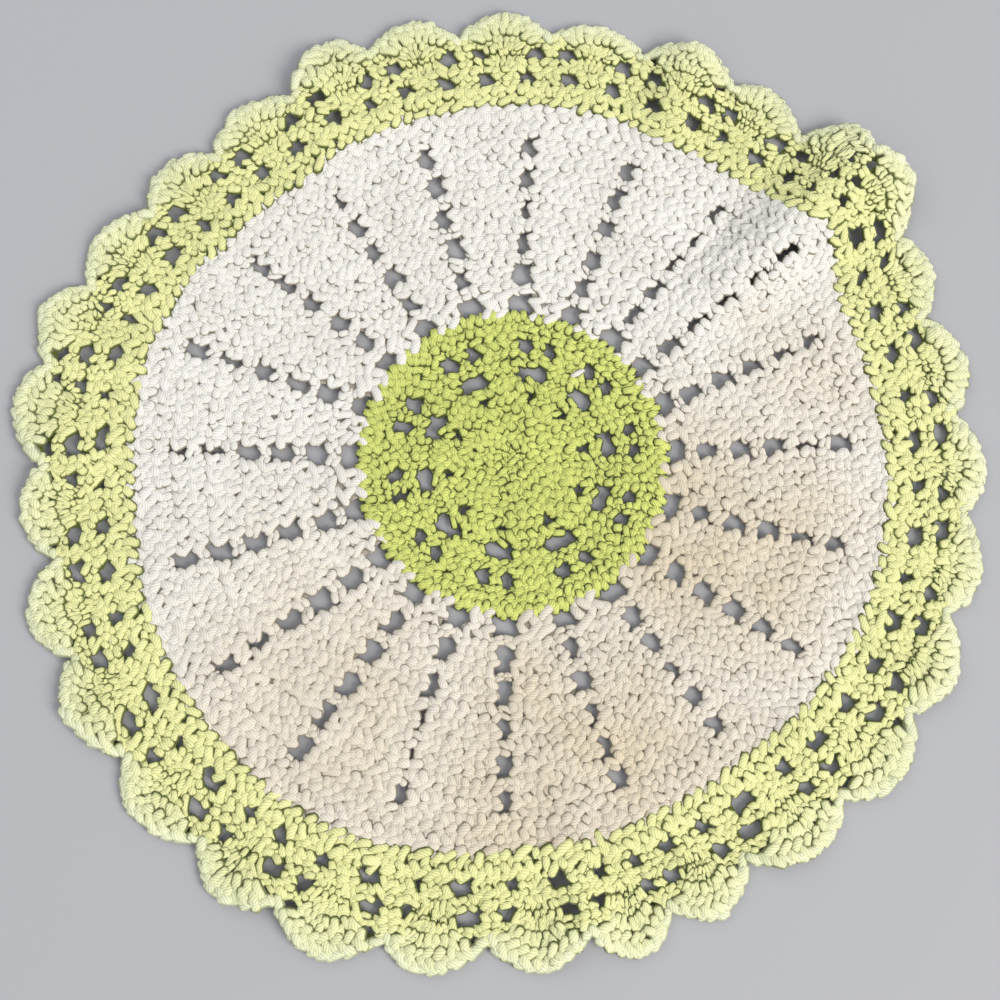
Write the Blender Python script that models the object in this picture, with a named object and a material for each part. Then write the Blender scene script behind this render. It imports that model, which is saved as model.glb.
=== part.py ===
"""A round crocheted doily: a green centre, a white field and a scalloped green border.

It is one cloth worked outwards in three yarns, so each yarn's section is an object of its own.
It lies on a surface with +Z up, and its origin is on that surface below the middle of its outline.
Angles are degrees clockwise from +Y, the way the rounds are read. Sizes in the tables are
millimetres, and become metres where a point is placed.
"""

from bisect import bisect_right
from math import cos, pi, radians, sin

import bmesh
import bpy
from mathutils import Vector

MM = 0.001
FULL_TURN = 360.0

# Driving sizes
START_GAP = 0.2  # half of the parting between two sections
EDGE_HEIGHT = 2.0  # the cloth at its free edge
SHELL_HEIGHT = 3.4  # the crown of a scallop's shell
CENTRE_EDGE = 55.0  # radius where the green centre ends and the white field begins
FIELD_EDGE = 137.4  # mean radius where the white field ends
LACE_DEPTH = 37.0  # mean depth of the border, from the white field to a scallop's tip
EDGE_SHARES = (0.14, 0.31)  # the points of the scalloped edge beside a valley, as shares of a scallop
RIM_BAND = 0.1  # how near its outer curve a section's rim lies

# The border's scallops, in order. edge is the radius where the border starts under the scallop,
# tip how far the scallop reaches, and valley the dip that follows it.
# tip at, edge, tip, valley at, valley
SCALLOPS = (
    (-1.0, 138.0, 174.0, 5.0, 166.0),
    (11.5, 139.3, 172.5, 17.5, 166.0),
    (24.0, 136.5, 175.0, 30.0, 169.0),
    (34.5, 138.6, 175.0, 41.0, 166.5),
    (45.8, 140.5, 183.0, 48.6, 180.5),
    (53.0, 146.5, 185.0, 59.0, 170.0),
    (63.8, 137.2, 173.5, 70.0, 163.0),
    (76.7, 136.4, 172.0, 83.0, 163.0),
    (90.5, 137.2, 172.0, 96.0, 166.0),
    (103.9, 137.2, 172.5, 109.0, 165.0),
    (116.2, 137.5, 174.0, 122.5, 166.5),
    (129.2, 135.7, 175.5, 136.0, 165.0),
    (142.0, 133.2, 172.5, 150.0, 161.5),
    (155.6, 133.6, 172.5, 161.0, 164.5),
    (165.6, 135.0, 176.0, 171.0, 164.5),
    (177.2, 136.0, 175.5, 183.0, 166.5),
    (190.3, 140.0, 178.0, 195.0, 171.0),
    (202.2, 142.5, 182.0, 208.0, 173.5),
    (214.0, 143.3, 180.5, 219.0, 170.5),
    (226.5, 142.2, 179.5, 232.0, 169.5),
    (240.0, 140.8, 178.5, 245.5, 169.0),
    (250.6, 139.0, 178.0, 257.3, 165.5),
    (263.7, 136.4, 175.0, 269.0, 167.5),
    (276.6, 137.5, 179.5, 281.5, 172.0),
    (288.0, 139.0, 178.5, 292.5, 167.0),
    (297.8, 136.8, 173.0, 304.5, 162.5),
    (310.2, 133.5, 169.5, 316.0, 160.0),
    (322.5, 132.5, 168.0, 329.0, 161.0),
    (336.0, 136.0, 175.0, 341.0, 167.0),
    (347.0, 137.2, 174.0, 353.0, 164.5),
)

# The white field's lines of chain gaps, which run outwards and lean a little.
# at the inner edge, at the outer edge
GAP_LINES = (
    (2.3, 2.7),
    (21.1, 21.0),
    (38.3, 38.5),
    (52.4, 51.4),
    (68.2, 66.2),
    (86.1, 85.9),
    (105.8, 103.2),
    (124.6, 122.9),
    (143.1, 142.5),
    (162.6, 161.8),
    (182.9, 180.7),
    (199.7, 198.2),
    (215.7, 215.6),
    (232.8, 234.1),
    (251.2, 252.6),
    (271.6, 270.8),
    (289.4, 289.0),
    (308.4, 307.0),
    (326.6, 326.2),
    (344.1, 344.0),
)

# The large gaps in the green centre, which has drawn in unevenly.
# middle at, how far the cloth has drawn in there
CENTRE_GAPS = (
    (12.0, 1.3),
    (44.5, 1.3),
    (78.0, 0.0),
    (111.5, 0.5),
    (148.5, 1.6),
    (188.5, 2.3),
    (224.5, 1.0),
    (256.5, 3.0),
    (293.0, 5.0),
    (333.0, 3.5),
)

# Each table below has a row for each circle of points, outwards. The cloth is thin where a round
# starts and thick at the chains along its top. Gaps lie between a circle and the next.

# The centre: radius, share of the drawing in, height, where a repeat's post and its gaps end as
# shares of the repeat, and which cells outside the circle are open
CENTRE_CIRCLES = (
    (0.0, 0.0, 2.6, 0.07, 0.25, ""),
    (7.9, 0.0, 3.0, 0.07, 0.25, ""),
    (15.1, 0.2, 3.0, 0.07, 0.25, ""),
    (23.0, 0.6, 2.8, 0.09, 0.25, "post"),
    (28.2, 0.8, 3.1, 0.09, 0.25, ""),
    (32.8, 0.9, 2.6, 0.07, 0.23, "post and gaps"),
    (39.2, 0.8, 3.1, 0.08, 0.24, ""),
    (41.4, 0.7, 2.6, 0.08, 0.26, "gaps"),
    (47.0, 0.3, 3.1, 0.07, 0.22, ""),
    (51.0, 0.1, 2.6, 0.07, 0.25, ""),
    (CENTRE_EDGE - START_GAP, 0.0, 3.0, 0.07, 0.25, ""),
)

# The white field: radius, height, half width of the gap, and whether a gap opens outside the circle
FIELD_CIRCLES = (
    (CENTRE_EDGE + START_GAP, 2.6, 2.8, False),
    (56.6, 2.6, 2.9, True),
    (61.9, 3.1, 2.3, False),
    (67.6, 2.6, 3.2, True),
    (74.8, 3.1, 1.6, False),
    (78.7, 2.6, 2.9, True),
    (86.2, 3.1, 1.9, False),
    (91.8, 2.6, 2.8, True),
    (98.7, 3.1, 2.1, False),
    (103.7, 2.6, 2.8, True),
    (110.7, 3.1, 2.3, False),
    (116.9, 2.6, 2.9, True),
    (122.9, 3.1, 2.6, False),
    (130.0, 2.7, 2.9, False),
    (FIELD_EDGE - START_GAP, 3.1, 2.9, False),
)

# The border: distance out from the white field, height, where the valley's post and the gap beside
# it end as shares of the scallop, and whether gaps open outside the circle
BORDER_CIRCLES = (
    (START_GAP, 2.7, 0.12, 0.34, False),
    (5.2, 3.0, 0.14, 0.37, True),
    (12.0, 3.1, 0.15, 0.35, False),
    (16.0, 2.7, 0.08, 0.25, True),
    (21.3, 3.1, 0.09, 0.23, False),
    (27.0, 3.0, 0.13, 0.29, False),
)

# Where the cloth stands up from the surface: a long fold at the upper right, a curled scallop
# and pleats beside it, and the border's soft waves.
# at, half width in degrees, the radius where it starts, the radius where it is full, height
FOLDS = (
    (50.0, 10.0, 62.0, 150.0, 9.0),
    (24.0, 6.5, 124.0, 150.0, 5.0),
    (331.0, 6.0, 118.0, 150.0, 3.5),
    (172.0, 6.0, 108.0, 150.0, 3.5),
    (118.0, 8.0, 146.0, 172.0, 1.6),
    (146.0, 7.0, 146.0, 170.0, 2.0),
    (208.0, 9.0, 146.0, 174.0, 2.4),
    (238.0, 8.0, 146.0, 174.0, 1.6),
    (269.0, 7.0, 146.0, 172.0, 2.2),
    (304.0, 8.0, 144.0, 168.0, 1.8),
)

# Base colours, read off the yarn in daylight
CENTRE_GREEN = (0.52, 0.60, 0.17, 1.0)
FIELD_WHITE = (0.76, 0.72, 0.65, 1.0)
BORDER_GREEN = (0.66, 0.72, 0.31, 1.0)
YARN_ROUGHNESS = 0.9


def ease(share):
    """A smooth step from 0 to 1."""
    share = min(1.0, max(0.0, share))
    return share * share * (3.0 - 2.0 * share)


def between(rows, angle):
    """The value at an angle, eased between the two rows (angle, value) on either side of it."""
    starts = [row[0] for row in rows]
    turned = starts[0] + (angle - starts[0]) % FULL_TURN
    i = bisect_right(starts, turned) - 1
    low, high = rows[i], rows[(i + 1) % len(rows)]
    span = (high[0] - low[0]) % FULL_TURN
    return low[1] + (high[1] - low[1]) * ease((turned - low[0]) / span)


def field_edge(angle):
    """The radius where the white field ends and the border begins."""
    return between([(tip_at, edge) for tip_at, edge, *_ in SCALLOPS], angle)


def outline(angle):
    """How far the scalloped edge reaches."""
    marks = []
    for tip_at, _, tip, valley_at, valley in SCALLOPS:
        marks += [(tip_at, tip, True), (valley_at, valley, False)]
    starts = [mark[0] for mark in marks]
    turned = starts[0] + (angle - starts[0]) % FULL_TURN
    i = bisect_right(starts, turned) - 1
    low, high = marks[i], marks[(i + 1) % len(marks)]
    share = (turned - low[0]) / ((high[0] - low[0]) % FULL_TURN)
    if low[2]:
        return high[1] + (low[1] - high[1]) * cos(pi / 2 * share)
    return low[1] + (high[1] - low[1]) * sin(pi / 2 * share)


def lift(angle, radius):
    """How far the underside stands up from the surface."""
    total = 0.0
    for at, half_width, starts, full, height in FOLDS:
        away = abs((angle - at + 180.0) % FULL_TURN - 180.0) / half_width
        if away < 1.0:
            total += height * ease(1.0 - away) * ease((radius - starts) / (full - starts))
    return total


def polar(angle, radius):
    """The point at this angle and radius, in metres."""
    return Vector((sin(radians(angle)), cos(radians(angle)), 0.0)) * radius * MM


def polar_of(point):
    """The angle and radius of a point, in degrees and millimetres."""
    angle = Vector((point.y, point.x)).angle_signed(Vector((1.0, 0.0)), 0.0)
    return angle * 180.0 / pi, point.xy.length / MM


def openwork(columns, circles, place, is_open):
    """A flat sheet of cells round the middle, with the open ones left out.

    place(column, circle) gives a point and the cloth's height there, and is_open(column, circle)
    says whether the cell that starts there is a gap.
    """
    sheet = bmesh.new()
    bmesh.ops.create_grid(sheet, x_segments=columns, y_segments=circles - 1, size=0.5)
    height = sheet.verts.layers.float.new("height")
    cells = {}
    for face in sheet.faces:
        corner = face.calc_center_median()
        cells[face] = int((corner.x + 0.5) * columns), int((corner.y + 0.5) * (circles - 1))
    for vert in sheet.verts:
        column = round((vert.co.x + 0.5) * columns)
        circle = round((vert.co.y + 0.5) * (circles - 1))
        vert.co, vert[height] = place(column % columns, circle)
    gaps = [face for face, cell in cells.items() if is_open(*cell)]
    bmesh.ops.delete(sheet, geom=gaps, context="FACES")
    bmesh.ops.remove_doubles(sheet, verts=sheet.verts[:], dist=0.01 * MM)
    bmesh.ops.recalc_face_normals(sheet, faces=sheet.faces[:])
    return sheet


def round_off_rim(sheet, rim_radius):
    """Halves each edge of the outer rim and puts the new points on its curve."""
    height = sheet.verts.layers.float["height"]
    rim = []
    for edge in sheet.edges:
        ends = [polar_of(vert.co) for vert in edge.verts]
        if edge.is_boundary and all(radius > rim_radius(angle) - RIM_BAND for angle, radius in ends):
            rim.append(edge)
    halved = bmesh.ops.subdivide_edges(sheet, edges=rim, cuts=1)
    for vert in halved["geom_inner"]:
        if isinstance(vert, bmesh.types.BMVert):
            angle, _ = polar_of(vert.co)
            vert.co = polar(angle, rim_radius(angle))
            vert[height] = sum(e.other_vert(vert)[height] for e in vert.link_edges) / 2


def raise_cloth(sheet):
    """Gives the flat sheet its height, and lays it over the folds."""
    bmesh.ops.solidify(sheet, geom=sheet.faces[:], thickness=MM)
    height = sheet.verts.layers.float["height"]
    top = max(vert.co.z for vert in sheet.verts)
    for vert in sheet.verts:
        angle, radius = polar_of(vert.co)
        above = vert[height] if vert.co.z > top - MM / 2 else 0.0
        vert.co.z = (lift(angle, radius) + above) * MM
    bmesh.ops.recalc_face_normals(sheet, faces=sheet.faces[:])


def yarn(name, colour):
    """The finish of one yarn."""
    material = bpy.data.materials.new(name)
    material.use_nodes = True
    shader = material.node_tree.nodes["Principled BSDF"]
    shader.inputs["Base Color"].default_value = colour
    shader.inputs["Roughness"].default_value = YARN_ROUGHNESS
    shader.inputs["Metallic"].default_value = 0.0
    material.diffuse_color = colour
    return material


def section(name, sheet, material, collection, parent):
    """Makes an object of a sheet."""
    mesh = bpy.data.meshes.new(name)
    sheet.to_mesh(mesh)
    sheet.free()
    mesh.materials.append(material)
    piece = bpy.data.objects.new(name, mesh)
    piece.parent = parent
    collection.objects.link(piece)
    return piece


def green_centre():
    """The centre: close rounds, then a ring of small gaps, one of large gaps and one of pairs."""
    steps = 6
    gaps = [middle_at for middle_at, _ in CENTRE_GAPS]
    middles = [a + (b - a) % FULL_TURN / 2 for a, b in zip(gaps, gaps[1:] + gaps[:1])]

    def place(column, circle):
        radius, drawn, cloth, post, gap, _ = CENTRE_CIRCLES[circle]
        repeat, step = divmod(column, steps)
        starts, ends = middles[repeat - 1], middles[repeat]
        share = (0.0, 0.5 - gap, 0.5 - post, 0.5 + post, 0.5 + gap, 0.5 + (gap + 0.5) / 2)[step]
        angle = starts + (ends - starts) % FULL_TURN * share
        return polar(angle, radius - drawn * between(CENTRE_GAPS, angle)), cloth

    def is_open(column, circle):
        open_cells = CENTRE_CIRCLES[circle][5]
        step = column % steps
        return ("post" in open_cells and step == 2) or ("gaps" in open_cells and step in (1, 3))

    sheet = openwork(steps * len(CENTRE_GAPS), len(CENTRE_CIRCLES), place, is_open)
    round_off_rim(sheet, lambda angle: CENTRE_EDGE - START_GAP)
    return sheet


def white_field():
    """The field: wedges of stitches that widen outwards, with a line of chain gaps between two."""
    steps = 4
    inner, outer = FIELD_CIRCLES[0][0], FIELD_CIRCLES[-1][0]

    def gap_line(wedge, radius):
        turns, i = divmod(wedge, len(GAP_LINES))
        starts, ends = GAP_LINES[i]
        return turns * FULL_TURN + starts + (ends - starts) * (radius - inner) / (outer - inner)

    def place(column, circle):
        radius, cloth, half_gap, _ = FIELD_CIRCLES[circle]
        wedge, step = divmod(column, steps)
        half_angle = half_gap / radius * 180.0 / pi
        starts = gap_line(wedge, radius) + half_angle
        ends = gap_line(wedge + 1, radius) - half_angle
        angle = starts + (ends - starts) * (step - 1) / (steps - 1)
        if step == 0:
            angle = starts - 2 * half_angle
        spread = (radius - inner) / (outer - inner)
        stretched = radius + (field_edge(angle) - FIELD_EDGE) * spread
        return polar(angle, stretched), cloth

    def is_open(column, circle):
        return FIELD_CIRCLES[circle][3] and column % steps == 0

    sheet = openwork(steps * len(GAP_LINES), len(FIELD_CIRCLES), place, is_open)
    round_off_rim(sheet, lambda angle: field_edge(angle) - START_GAP)
    return sheet


def green_border():
    """The border: a close round, a round of gaps, shells parted by posts, and the scallops."""
    steps = 6
    circles = len(BORDER_CIRCLES) + 1

    def place(column, circle):
        scallop, step = divmod(column, steps)
        tip_at, _, _, ends, _ = SCALLOPS[scallop]
        starts = ends - (ends - SCALLOPS[scallop - 1][3]) % FULL_TURN
        if circle == circles - 1:
            offset, cloth, post, gap = LACE_DEPTH, EDGE_HEIGHT, *EDGE_SHARES
        else:
            offset, cloth, post, gap, _ = BORDER_CIRCLES[circle]
        tip_share = (tip_at - starts) % FULL_TURN / (ends - starts)
        share = (0.0, post, gap, tip_share, 1.0 - gap, 1.0 - post)[step]
        angle = starts + (ends - starts) * share
        if circle == circles - 1:
            return polar(angle, outline(angle)), cloth
        if circle == circles - 2 and step in (2, 3, 4):
            cloth = SHELL_HEIGHT
        return polar(angle, field_edge(angle) + offset), cloth

    def is_open(column, circle):
        return BORDER_CIRCLES[circle][4] and column % steps in (1, 4)

    sheet = openwork(steps * len(SCALLOPS), circles, place, is_open)
    round_off_rim(sheet, outline)
    return sheet


def main():
    for thing in list(bpy.data.objects):
        bpy.data.objects.remove(thing)
    doily = bpy.data.collections.new("crocheted_doily")
    bpy.context.scene.collection.children.link(doily)
    base = bpy.data.objects.new("doily", None)
    doily.objects.link(base)

    sections = (
        ("green_centre", green_centre(), yarn("centre_yarn", CENTRE_GREEN)),
        ("white_field", white_field(), yarn("field_yarn", FIELD_WHITE)),
        ("green_border", green_border(), yarn("border_yarn", BORDER_GREEN)),
    )
    for name, sheet, material in sections:
        raise_cloth(sheet)
        section(name, sheet, material, doily, base)

    reach = [polar(angle / 4, outline(angle / 4)) for angle in range(4 * int(FULL_TURN))]
    for axis in (0, 1):
        places = [point[axis] for point in reach]
        base.location[axis] = -(min(places) + max(places)) / 2


main()
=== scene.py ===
"""A round crocheted doily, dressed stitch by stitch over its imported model.

Every stitch is laid out flat, in millimetres, as a cell with a foot and a top. Its strands are
drawn inside that cell, and then the whole cloth is lifted over its folds. Angles are degrees
clockwise from +Y, the way the rounds are read.
"""

import bpy
import numpy as np
from mathutils import Matrix, Vector


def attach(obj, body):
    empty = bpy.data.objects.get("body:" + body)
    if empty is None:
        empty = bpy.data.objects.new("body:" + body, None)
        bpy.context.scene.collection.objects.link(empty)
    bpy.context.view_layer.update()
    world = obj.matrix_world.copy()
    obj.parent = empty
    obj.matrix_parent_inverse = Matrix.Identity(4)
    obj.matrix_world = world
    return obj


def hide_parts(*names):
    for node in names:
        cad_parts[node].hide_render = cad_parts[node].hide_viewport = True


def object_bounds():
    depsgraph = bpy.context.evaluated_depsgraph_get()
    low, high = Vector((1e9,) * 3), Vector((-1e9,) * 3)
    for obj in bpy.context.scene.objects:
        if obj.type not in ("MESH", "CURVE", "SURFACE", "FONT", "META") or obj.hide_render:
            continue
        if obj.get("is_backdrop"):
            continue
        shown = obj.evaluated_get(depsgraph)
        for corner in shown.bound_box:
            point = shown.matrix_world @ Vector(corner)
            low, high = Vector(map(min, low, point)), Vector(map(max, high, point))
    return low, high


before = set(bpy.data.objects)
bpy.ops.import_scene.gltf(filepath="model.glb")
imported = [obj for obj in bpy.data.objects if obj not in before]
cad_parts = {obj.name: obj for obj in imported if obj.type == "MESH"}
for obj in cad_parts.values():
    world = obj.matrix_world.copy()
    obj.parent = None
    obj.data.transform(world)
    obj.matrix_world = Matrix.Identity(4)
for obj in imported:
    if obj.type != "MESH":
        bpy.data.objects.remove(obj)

bl_info = {
    "name": "Crocheted doily",
    "version": (1, 0, 0),
    "blender": (4, 5, 0),
    "location": "3D View > Sidebar > Doily",
    "description": "Works a round crocheted doily stitch by stitch in three yarns",
    "category": "Add Mesh",
}

MM = 0.001
FULL_TURN = 360.0
SIDES = 6  # sides of a strand
FLAT = 0.72  # how thick a strand is for its width
LOBE_STEPS = 5  # points along a lobe of yarn
CLOTH_MIDDLE = 1.9  # height of the middle of the cloth
CENTRE_EDGE = 55.0  # radius where the green centre ends and the white field begins
FIELD_EDGE = 137.4  # mean radius where the white field ends

# The border's scallops. edge is the radius where the border starts under the scallop, tip how far
# the scallop reaches, and valley the dip that follows it.
# tip at, edge, tip, valley at, valley
SCALLOPS = (
    (-1.0, 138.0, 174.0, 5.0, 166.0),
    (11.5, 139.3, 172.5, 17.5, 166.0),
    (24.0, 136.5, 175.0, 30.0, 169.0),
    (34.5, 138.6, 175.0, 41.0, 166.5),
    (45.8, 140.5, 183.0, 48.6, 180.5),
    (53.0, 146.5, 185.0, 59.0, 170.0),
    (63.8, 137.2, 173.5, 70.0, 163.0),
    (76.7, 136.4, 172.0, 83.0, 163.0),
    (90.5, 137.2, 172.0, 96.0, 166.0),
    (103.9, 137.2, 172.5, 109.0, 165.0),
    (116.2, 137.5, 174.0, 122.5, 166.5),
    (129.2, 135.7, 175.5, 136.0, 165.0),
    (142.0, 133.2, 172.5, 150.0, 161.5),
    (155.6, 133.6, 172.5, 161.0, 164.5),
    (165.6, 135.0, 176.0, 171.0, 164.5),
    (177.2, 136.0, 175.5, 183.0, 166.5),
    (190.3, 140.0, 178.0, 195.0, 171.0),
    (202.2, 142.5, 182.0, 208.0, 173.5),
    (214.0, 143.3, 180.5, 219.0, 170.5),
    (226.5, 142.2, 179.5, 232.0, 169.5),
    (240.0, 140.8, 178.5, 245.5, 169.0),
    (250.6, 139.0, 178.0, 257.3, 165.5),
    (263.7, 136.4, 175.0, 269.0, 167.5),
    (276.6, 137.5, 179.5, 281.5, 172.0),
    (288.0, 139.0, 178.5, 292.5, 167.0),
    (297.8, 136.8, 173.0, 304.5, 162.5),
    (310.2, 133.5, 169.5, 316.0, 160.0),
    (322.5, 132.5, 168.0, 329.0, 161.0),
    (336.0, 136.0, 175.0, 341.0, 167.0),
    (347.0, 137.2, 174.0, 353.0, 164.5),
)

# The white field's lines of chain gaps, which run outwards and lean a little.
# at the inner edge, at the outer edge
GAP_LINES = (
    (2.3, 2.7),
    (21.1, 21.0),
    (38.3, 38.5),
    (52.4, 51.4),
    (68.2, 66.2),
    (86.1, 85.9),
    (105.8, 103.2),
    (124.6, 122.9),
    (143.1, 142.5),
    (162.6, 161.8),
    (182.9, 180.7),
    (199.7, 198.2),
    (215.7, 215.6),
    (232.8, 234.1),
    (251.2, 252.6),
    (271.6, 270.8),
    (289.4, 289.0),
    (308.4, 307.0),
    (326.6, 326.2),
    (344.1, 344.0),
)

# The large gaps in the green centre, which has drawn in unevenly.
# middle at, how far the cloth has drawn in there
CENTRE_GAPS = (
    (12.0, 1.3),
    (44.5, 1.3),
    (78.0, 0.0),
    (111.5, 0.5),
    (148.5, 1.6),
    (188.5, 2.3),
    (224.5, 1.0),
    (256.5, 3.0),
    (293.0, 5.0),
    (333.0, 3.5),
)
# How much of that each circle takes up: radius, share
DRAWN_IN = (
    (7.9, 0.0),
    (15.1, 0.2),
    (23.0, 0.6),
    (32.8, 0.9),
    (41.4, 0.7),
    (47.0, 0.3),
    (54.0, 0.0),
)

# Where the cloth stands up from the surface.
# at, half width in degrees, the radius where it starts, the radius where it is full, height
FOLDS = (
    (50.0, 10.0, 62.0, 150.0, 9.0),
    (24.0, 6.5, 124.0, 150.0, 5.0),
    (331.0, 6.0, 118.0, 150.0, 3.5),
    (172.0, 6.0, 108.0, 150.0, 3.5),
    (118.0, 8.0, 146.0, 172.0, 1.6),
    (146.0, 7.0, 146.0, 170.0, 2.0),
    (208.0, 9.0, 146.0, 174.0, 2.4),
    (238.0, 8.0, 146.0, 174.0, 1.6),
    (269.0, 7.0, 146.0, 172.0, 2.2),
    (304.0, 8.0, 144.0, 168.0, 1.8),
)

FIRST_RING = 1.6  # radius where the first stitches start
# The close rounds in the middle: outer radius, stitches
CLOSE_ROUNDS = ((7.9, 10), (15.1, 20), (22.4, 30))

# The rounds of ten repeats that follow. A repeat has a group of stitches on either side of its
# gaps, and may have a post between two gaps. Shares are of half a repeat, from the middle of the
# gaps: outer radius, stitches in the group, where the group starts at the foot and at the top,
# stitches in the post, where the post ends
REPEAT_ROUNDS = (
    (30.5, 4, 0.17, 0.13, 0, 0.0),
    (40.1, 4, 0.48, 0.42, 0, 0.0),
    (48.8, 4, 0.50, 0.42, 2, 0.17),
)
LAST_CENTRE_STITCHES = 90  # in the close round at the centre's edge

# The white field: outer radius, stitches in a wedge, half width of the gap at its foot and top.
# The last round is close.
FIELD_ROUNDS = (
    (64.8, 2, 2.9, 2.4),
    (76.7, 4, 3.1, 1.7),
    (89.1, 5, 2.7, 1.7),
    (101.3, 6, 2.4, 1.7),
    (113.9, 7, 2.2, 1.8),
    (126.0, 8, 2.2, 1.8),
    (FIELD_EDGE - 0.7, 9, 0.0, 0.0),
)

# Gaps of the white field that have pulled nearly shut: line, round, what is left of the width
TIGHT_GAPS = (
    (0, 3, 0.35),
    (2, 2, 0.6),
    (2, 3, 0.45),
    (2, 4, 0.3),
    (2, 5, 0.6),
    (3, 2, 0.5),
    (3, 3, 0.2),
    (3, 4, 0.25),
    (3, 5, 0.5),
    (4, 4, 0.5),
    (5, 4, 0.4),
    (6, 4, 0.5),
    (9, 3, 0.4),
    (10, 3, 0.4),
    (11, 3, 0.5),
    (11, 4, 0.1),
    (13, 4, 0.35),
    (15, 4, 0.35),
    (15, 5, 0.35),
    (16, 4, 0.5),
    (17, 4, 0.6),
    (17, 5, 0.6),
    (18, 5, 0.4),
    (19, 1, 0.7),
)

# The border's gaps, in both halves of a scallop: from and to as shares of the scallop, from and to
# as distances out from the white field
BORDER_GAPS = (
    (0.13, 0.37, 6.0, 13.2),
    (0.06, 0.28, 16.2, 23.0),
    (0.05, 0.20, 26.0, 31.4),
)
LACE_DEPTH = 37.0  # mean depth of the border
SHELL_TOP = 22.6  # how far out the shells end
RIM_INSET = 2.4  # how far the ground stays inside the scalloped edge
GROUND_SEAM = 54.6  # where the ground of the centre meets that of the field
GROUND_BAR = 1.1  # half the ground that stays under the chains between two gaps
GROUND_BACK = (2.0, 1.9)  # how far the ground stays back from a gap's foot and top, to each side
GROUND_SHUT = 3.0  # half width of a line of gaps where the ground is shut
GROUND_CREST = 0.36  # how far the ground shows the yarn's own colour rather than its painted shade
CHAIN_LOBE = 3.8  # how far one lobe of a chain reaches
LEAN = 0.9  # how far a stitch's top leans past its foot

# The ground of the centre: a repeat's marks as shares of it, from the middle of its large gap, and
# the circles
GROUND_SHARES = (-0.5, -0.27, -0.10, 0.10, 0.27)
GROUND_CIRCLES = (0.6, 7.9, 15.1, 22.6, 28.6, 31.6, 40.0, 41.0, 48.6, 52.0, GROUND_SEAM)
SMALL_GAPS = 3  # the circle in that row with small gaps outside it
LARGE_GAPS = (5, 7)  # the circles with large gaps outside them

# A lobe of yarn. The pairs of its tilt and bend are a mean and how much it varies.
LOBE_HALF = 0.51  # half its length for the diagonal of its cell
LOBE_RADII = (0.9, 2.2)  # the thinnest and the thickest
LOBE_NARROWEST = 1.2
LOBE_DOME = 0.25  # how far its middle stands up
LOBE_TILT = (-0.5, 0.26)  # half of how far its top stands above its foot
LOBE_BEND = (0.20, 0.12)
LOBE_POINTED = 0.88  # how thin its ends are
LOBE_TURNED = 0.03  # share of the lobes that slant the other way
LOBE_BETWEEN = 0.4  # how much lower the lobes between the stitches lie
PLACE_VARIES = 0.05
ACROSS_VARIES = 0.03
LENGTH_VARIES = 0.08
THICKNESS_VARIES = 0.06
HEIGHT_VARIES = 0.14
PLY_SHIFT = 5.0  # how far a strand's tone shifts its plies along it

# How the lobes of a stitch slant from its length, from the foot up, in degrees
SLANTS = (42.0, -38.0, 60.0, -30.0)
SPREAD_SLANTS = (5.0, -8.0, 42.0)
UPRIGHT_SLANTS = (16.0, -12.0)
EDGE_SLANTS = (-72.0,)
CHAIN_SLANTS = (26.0, -20.0)

# The photograph's view: the lens in sensor widths, how far the surface leans from face on and
# which way, and where the first ring of the doily stands, in shares of the picture
LENS_PER_SENSOR = 1.25
LEAN_DEGREES = 9.48
LEAN_TOWARDS = 75.9
FIRST_RING_AT = (0.5132, 0.4629)
DISTANCE = 0.450
SENSOR = 36.0
NEAREST = 0.01

# The lights: name, where it stands, how wide it is, its colour
LIGHTS = (
    ("key", (1.5, -1.1, 1.5), 1.4, (1.0, 0.98, 0.95)),
    ("fill", (-0.8, 0.7, 0.9), 1.2, (0.95, 0.98, 1.0)),
)
SKY = (0.9, 0.93, 1.0, 1.0)
SKY_STRENGTH = 0.62
FLOOR_HALF = 1.5

# Where the white has yellowed, in soft patches: middle, reach, strength
YELLOWED = (
    ((0.074, -0.030, 0.0), 0.095, 1.0),
    ((0.020, -0.110, 0.0), 0.135, 0.95),
    ((0.112, 0.030, 0.0), 0.060, 0.5),
    ((-0.055, -0.090, 0.0), 0.110, 0.75),
)

# The painted shade deep between the stitches of each yarn, also its darker tone at random, and the
# crest from which the shade sets in
CENTRE_TONE_AND_PAINTED_SHADE = ((0.04, 0.055, 0.003, 1.0), 0.84)
FIELD_TONE_AND_PAINTED_SHADE = ((0.26, 0.22, 0.16, 1.0), 0.52)
BORDER_TONE_AND_PAINTED_SHADE = ((0.08, 0.10, 0.010, 1.0), 0.76)

# Places of a Mix node's sockets for colours: the factor and both colours, and its result
MIX_INPUTS = (0, 6, 7)
MIX_RESULT = 2

rng = np.random.default_rng(7)


def ease(share):
    """A smooth step from 0 to 1."""
    share = np.clip(share, 0.0, 1.0)
    return share * share * (3.0 - 2.0 * share)


def marks_at(starts, angle):
    """The marks before and after each angle, and how far it lies between them."""
    starts = np.asarray(starts)
    turned = starts[0] + (np.asarray(angle) - starts[0]) % FULL_TURN
    low = np.searchsorted(starts, turned, side="right") - 1
    high = (low + 1) % len(starts)
    return low, high, (turned - starts[low]) / ((starts[high] - starts[low]) % FULL_TURN)


def field_edge(angle):
    """The radius where the white field ends and the border begins."""
    edges = np.array([row[1] for row in SCALLOPS])
    low, high, share = marks_at([row[0] for row in SCALLOPS], angle)
    return edges[low] + (edges[high] - edges[low]) * ease(share)


def outline(angle):
    """How far the scalloped edge reaches."""
    marks = np.array([mark for row in SCALLOPS for mark in ((row[0], row[2]), (row[3], row[4]))])
    low, high, share = marks_at(marks[:, 0], angle)
    near, far = marks[low, 1], marks[high, 1]
    from_tip = far + (near - far) * np.cos(np.pi / 2 * share)
    from_valley = near + (far - near) * np.sin(np.pi / 2 * share)
    return np.where(low % 2 == 0, from_tip, from_valley)


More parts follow.
